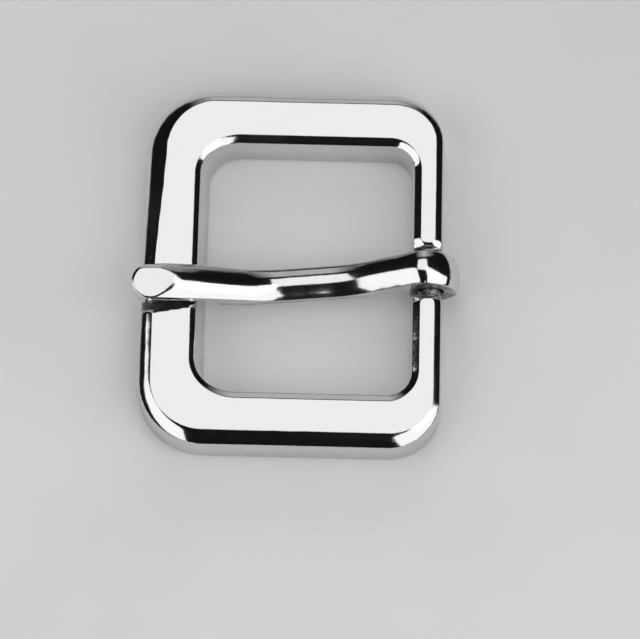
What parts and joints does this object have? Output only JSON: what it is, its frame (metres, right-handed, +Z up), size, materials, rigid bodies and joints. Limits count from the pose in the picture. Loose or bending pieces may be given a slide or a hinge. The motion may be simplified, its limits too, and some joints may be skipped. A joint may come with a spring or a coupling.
{
  "type": "heel bar strap buckle",
  "caption": "Plated heel bar strap buckle lying flat: a rounded rectangular frame and a swinging prong whose tip rests in a notch in the front bar.",
  "frame": {"origin": "middle of the frame's flat underside, level with the table it lies on", "axes": "+X from the front bar to the heel bar, +Y across the strap, +Z up from the table"},
  "size_m": [0.0326, 0.0376, 0.0069],
  "materials": {
    "frame_metal": "polished",
    "prong_metal": "polished"
  },
  "bodies": {
    "buckle_frame": {"frame": "frame_metal"},
    "buckle_prong": {"prong": "prong_metal"}
  },
  "joints": [
    {"name": "prong_swing", "type": "hinge", "parent": "buckle_frame", "child": "buckle_prong", "pos_m": [0.0138, -0.00035, 0.00305], "axis": [0, 1, 0], "range_deg": [0, 170]}
  ]
}
